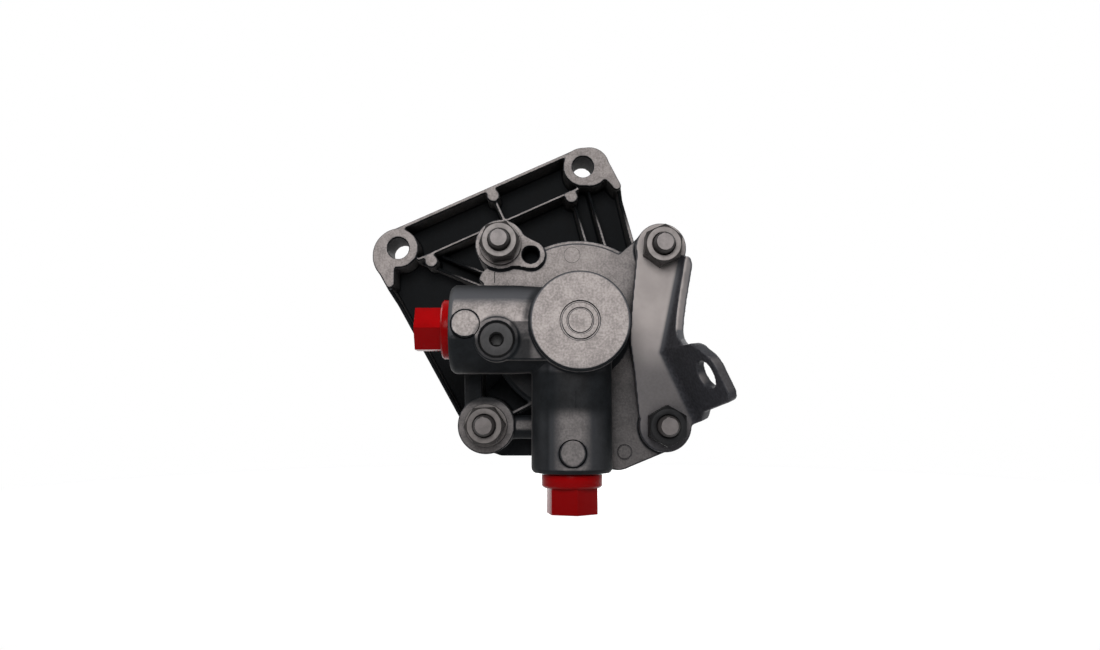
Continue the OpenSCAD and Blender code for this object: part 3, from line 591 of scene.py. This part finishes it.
ear_web = slab("ear_web", 60.0, PLATE_FACE, [(-38.0, 34.0), (-44.8, 29.2), (-47.4, 26.6), (-48.6, 23.6), (-46.0, 21.2),
                                       (-46.0, 14.0), (-30.0, 14.0), (-28.0, 30.0)])
ear_nib = slab("ear_nib", 71.0, 73.0, [(-48.0, 42.4), (-51.0, 40.6), (-48.0, 39.4)])
housing = cast_skin("pump_housing", 0.5 * MM, 8, (JOINT_FACE,), (ear_web, ear_nib))
boss_rings = [ring_mark(*BOSS_AXIS, BOSS_FACE, radius=8.7, section=0.6),
              ring_mark(*BOSS_AXIS, BOSS_FACE, radius=5.7, section=0.5)]
plate_rings = [ring_mark(22.2, -59.9, PLATE_FACE, radius=3.4, section=0.36),
               ring_mark(-2.8, 35.9, PLATE_FACE, radius=3.9, section=0.12)]
neck_pads = [ring_mark(-52.0, -1.1, 108.6, radius=6.6, section=0.3, reach=5.0),
             ring_mark(-3.3, -59.6, 104.6, radius=6.2, section=0.3, reach=5.0)]
parting_lines = [line_mark(-40.7, 24.8, PLATE_FACE, width=0.4, length=5.6, reach=0.8),
                 line_mark(-1.85, -35.2, 105.0, width=0.4, length=7.6, reach=0.8)]
cut(housing, boss_rings + plate_rings + neck_pads + parting_lines)
finish_skin(housing, "pump_housing")

bracket = cast_skin("support_bracket", 0.5 * MM, 14, ())
finish_skin(bracket, "support_bracket")

EDGE_ROUNDS = {"gallery_plug": 0.2, "outlet_plug": 0.3, "inlet_plug": 0.3, "nuts": 0.3, "dark_nut": 0.3, "washers": 0.3}
for node, edge in EDGE_ROUNDS.items():
    crisp(node, edge * MM)

STUD_ENDS = {"upper_left": (-37.8, 40.7, 97.0), "upper_right": (40.1, 38.2, 100.0),
             "lower_left": (-44.3, -47.2, 97.0), "lower_right": (41.2, -47.4, 100.0)}
PLAIN_TO = 86.0
shanks = solid_copy("studs", "studs_threaded")
edit(shanks)
bpy.ops.mesh.bisect(plane_co=at(0, 0, PLAIN_TO), plane_no=(0, -1, 0), use_fill=True, clear_outer=True)
leave()
studs = join("studs_threaded", [shanks] + [thread(name, right, up, PLAIN_TO - 0.5, end)
                                           for name, (right, up, end) in STUD_ENDS.items()])
smooth_shaded(studs, 35)
dress(studs, BODY_OF["studs"], SLOT_OF["studs"], "studs")

SPOOL_TRAVEL = next(joint["range_m"][1] for joint in frame["record"]["behaviour"]["joints"]
                    if joint["name"] == "spool_slide")
spring_low, spring_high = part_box("flow_spring")
spring = solid_copy("flow_spring", "flow_spring_coil")
smooth_shaded(spring, 35)
dress(spring, BODY_OF["flow_spring"], SLOT_OF["flow_spring"], "flow_spring")
1 - SPOOL_TRAVEL / (spring_high.x - spring_low.x)
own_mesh(spring)

for node, obj in frame["nodes"].items():
    for material_slot in obj.material_slots:
        material_slot.material = FINISHES[SLOT_OF[node]]


# ---------------------------------------------------------------- floor, light and camera

FLOOR_GAP = 0.2 * MM
FLOOR_SIZE = 8.0
FLOOR_GLOW = 0.78
WHITE_FROM, WHITE_TO = 0.18, 0.36  # the floor turns to plain white between these distances from the shaft
FILL = 0.12
low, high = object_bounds()
bpy.ops.object.select_all(action="DESELECT")
bpy.ops.mesh.primitive_plane_add(size=FLOOR_SIZE, location=(0, 0, low.z - FLOOR_GAP))
floor = bpy.context.object
floor.name = "floor"
floor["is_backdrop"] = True
f = Finish("floor", Base_Color=(0.86, 0.86, 0.86, 1), Roughness=0.9, Specular_IOR_Level=0.0)
seen = f.seen()
near = f.add("ShaderNodeAddShader", {}, {0: f.own("Principled BSDF")["BSDF"], 1: f.add(
    "ShaderNodeEmission", {}, {"Strength": seen * FLOOR_GLOW})["Emission"]})["Shader"]
far = f.add("ShaderNodeEmission", {}, {"Strength": seen})["Emission"]
away = f.add("ShaderNodeVectorMath", {"operation": "LENGTH"}, {0: f.place})["Value"]
f.feed(f.tree.nodes["Material Output"].inputs["Surface"],
       f.add("ShaderNodeMixShader", {}, {0: away.between(WHITE_FROM, WHITE_TO), 1: near, 2: far})["Shader"])
floor.data.materials.append(f.material)

world = bpy.data.worlds.new("studio")
bpy.context.scene.world = world
world.use_nodes = True
sky = Nodes(world.node_tree)
fill = sky.tree.nodes["Background"]
fill.inputs["Color"].default_value = (0.93, 0.96, 1.0, 1)
fill.inputs["Strength"].default_value = FILL
white = sky.add("ShaderNodeBackground", {}, {"Color": (1, 1, 1, 1), "Strength": 1.0})["Background"]
sky.feed(sky.tree.nodes["World Output"].inputs["Surface"], sky.add(
    "ShaderNodeMixShader", {}, {0: sky.seen(), 1: sky.own("Background")["Background"], 2: white})["Shader"])


def lamp(name, place, aim, size, power):
    data = bpy.data.lights.new(name, "AREA")
    data.shape, data.size, data.energy = "DISK", size, power
    piece = bpy.data.objects.new(name, data)
    bpy.context.scene.collection.objects.link(piece)
    piece.location = place
    piece.rotation_euler = (Vector(aim) - Vector(place)).to_track_quat("-Z", "Y").to_euler()


lamp("key", (-0.06, -0.62, 0.17), (0.0, -0.08, 0.01), 0.3, 2.8)
middle = (low + high) / 2
lamp("back", (0.3, 0.9, 0.6), middle, 0.8, 6.0)
lamp("left", (-0.75, 0.2, 0.45), middle, 0.6, 5.0)
lamp("right", (0.75, 0.2, 0.45), middle, 0.6, 5.0)

CAMERA_PLACE = Vector((-13.6, -526.5, -42.2)) * MM
CAMERA_PITCH = 5.53
SENSOR = 36.0
FOCAL_PIXELS, PICTURE_WIDTH = 930.0, 1100.0
data = bpy.data.cameras.new("camera")
data.sensor_width, data.lens = SENSOR, SENSOR * FOCAL_PIXELS / PICTURE_WIDTH
data.clip_start = 0.01
camera = bpy.data.objects.new("camera", data)
bpy.context.scene.collection.objects.link(camera)
camera.location = CAMERA_PLACE
camera.rotation_euler = (math.radians(90 + CAMERA_PITCH), 0, 0)
bpy.context.scene.camera = camera
bpy.context.scene.view_settings.view_transform = "Standard"

low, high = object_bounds()
